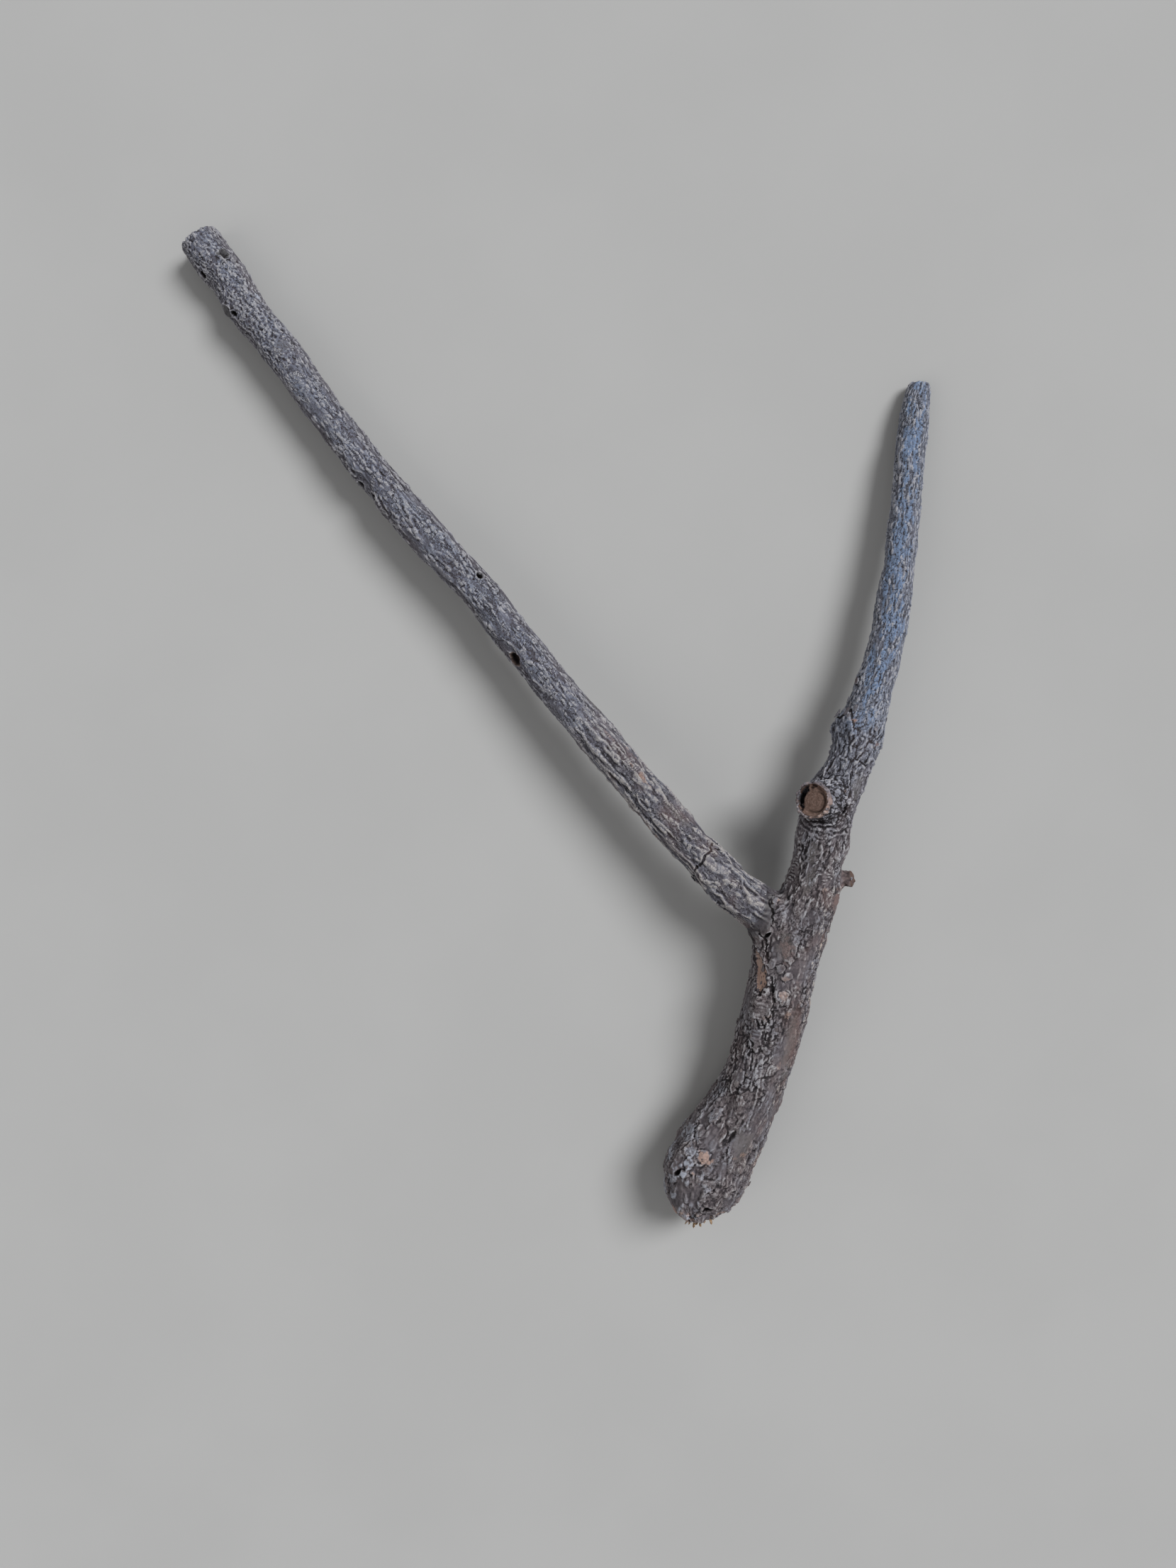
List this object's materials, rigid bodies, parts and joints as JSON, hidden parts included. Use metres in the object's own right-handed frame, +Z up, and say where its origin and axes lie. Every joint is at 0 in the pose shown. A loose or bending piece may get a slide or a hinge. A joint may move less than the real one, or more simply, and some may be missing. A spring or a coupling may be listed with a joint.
{
  "type": "fallen tree branch",
  "caption": "Dry fallen tree branch with rough bark, a knobby torn butt, a forked top with a long and a short limb, and a sawn side stub, lying on the ground.",
  "frame": {"origin": "on the ground, below the middle of the whole branch's box", "axes": "+Z up from the ground; +Y along the branch, from the torn butt towards the two tips; +X to the side of the short limb"},
  "size_m": [0.451, 0.6176, 0.0772],
  "materials": {
    "stem_bark": "rough plated bark, matt",
    "long_limb_bark": "rough ridged bark with pale corky warts, matt",
    "short_limb_bark": "fine granular bark with pale flecks, matt",
    "torn_wood": "dry splintered wood, matt"
  },
  "bodies": {
    "root": {"stem": "stem_bark", "long_limb": "long_limb_bark", "short_limb": "short_limb_bark"}
  },
  "joints": []
}
